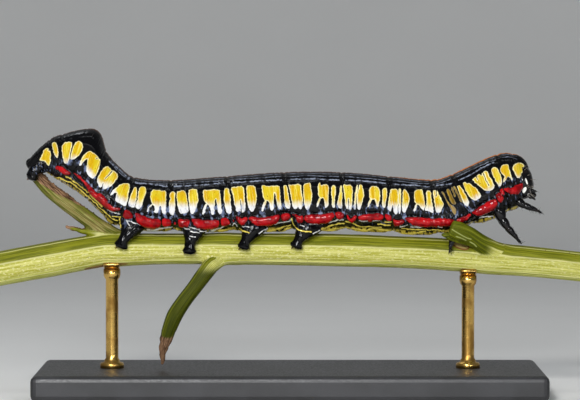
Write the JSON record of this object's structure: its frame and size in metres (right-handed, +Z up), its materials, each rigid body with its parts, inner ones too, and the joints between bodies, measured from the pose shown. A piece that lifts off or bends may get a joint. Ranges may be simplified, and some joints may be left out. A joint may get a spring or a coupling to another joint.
{
  "type": "brown-hooded owlet larva",
  "caption": "Life-size still model of a black, yellow and red owlet moth larva gripping a cut length of green stem, held on a flat stand by short rods.",
  "frame": {"origin": "centre of the bounding box on the plane that the stand's base rests on", "axes": "+X towards the larva's head along the perch, +Z up, -Y towards the larva's right side, the side that the picture shows"},
  "size_m": [0.0516, 0.018, 0.023],
  "materials": {
    "cuticle": "glossy black cuticle with yellow, white, red and orange markings",
    "horn": "hard glossy black",
    "stem": "satin yellow-green stem skin",
    "shoot": "satin green shoot, dried brown at its tips",
    "stand": "matte dark grey",
    "rod": "satin brass"
  },
  "bodies": {
    "root": {"head": "horn", "antenna_right": "horn", "antenna_left": "horn", "prothorax": "cuticle", "mesothorax": "cuticle", "metathorax": "cuticle", "abdomen_1": "cuticle", "abdomen_2": "cuticle", "abdomen_3": "cuticle", "abdomen_4": "cuticle", "abdomen_5": "cuticle", "abdomen_6": "cuticle", "abdomen_7": "cuticle", "abdomen_8": "cuticle", "abdomen_9": "cuticle", "abdomen_10": "cuticle", "leg_t1_right": "horn", "leg_t1_left": "horn", "leg_t2_right": "horn", "leg_t2_left": "horn", "leg_t3_right": "horn", "leg_t3_left": "horn", "proleg_a3_right": "cuticle", "proleg_a3_left": "cuticle", "proleg_a4_right": "cuticle", "proleg_a4_left": "cuticle", "proleg_a5_right": "cuticle", "proleg_a5_left": "cuticle", "proleg_a6_right": "cuticle", "proleg_a6_left": "cuticle", "anal_proleg_right": "cuticle", "anal_proleg_left": "cuticle", "perch_stem": "stem", "perch_stump": "shoot", "perch_twig": "shoot", "perch_leaf_base": "shoot", "stand_base": "stand", "stand_rod_rear": "rod", "stand_rod_front": "rod"}
  },
  "joints": []
}
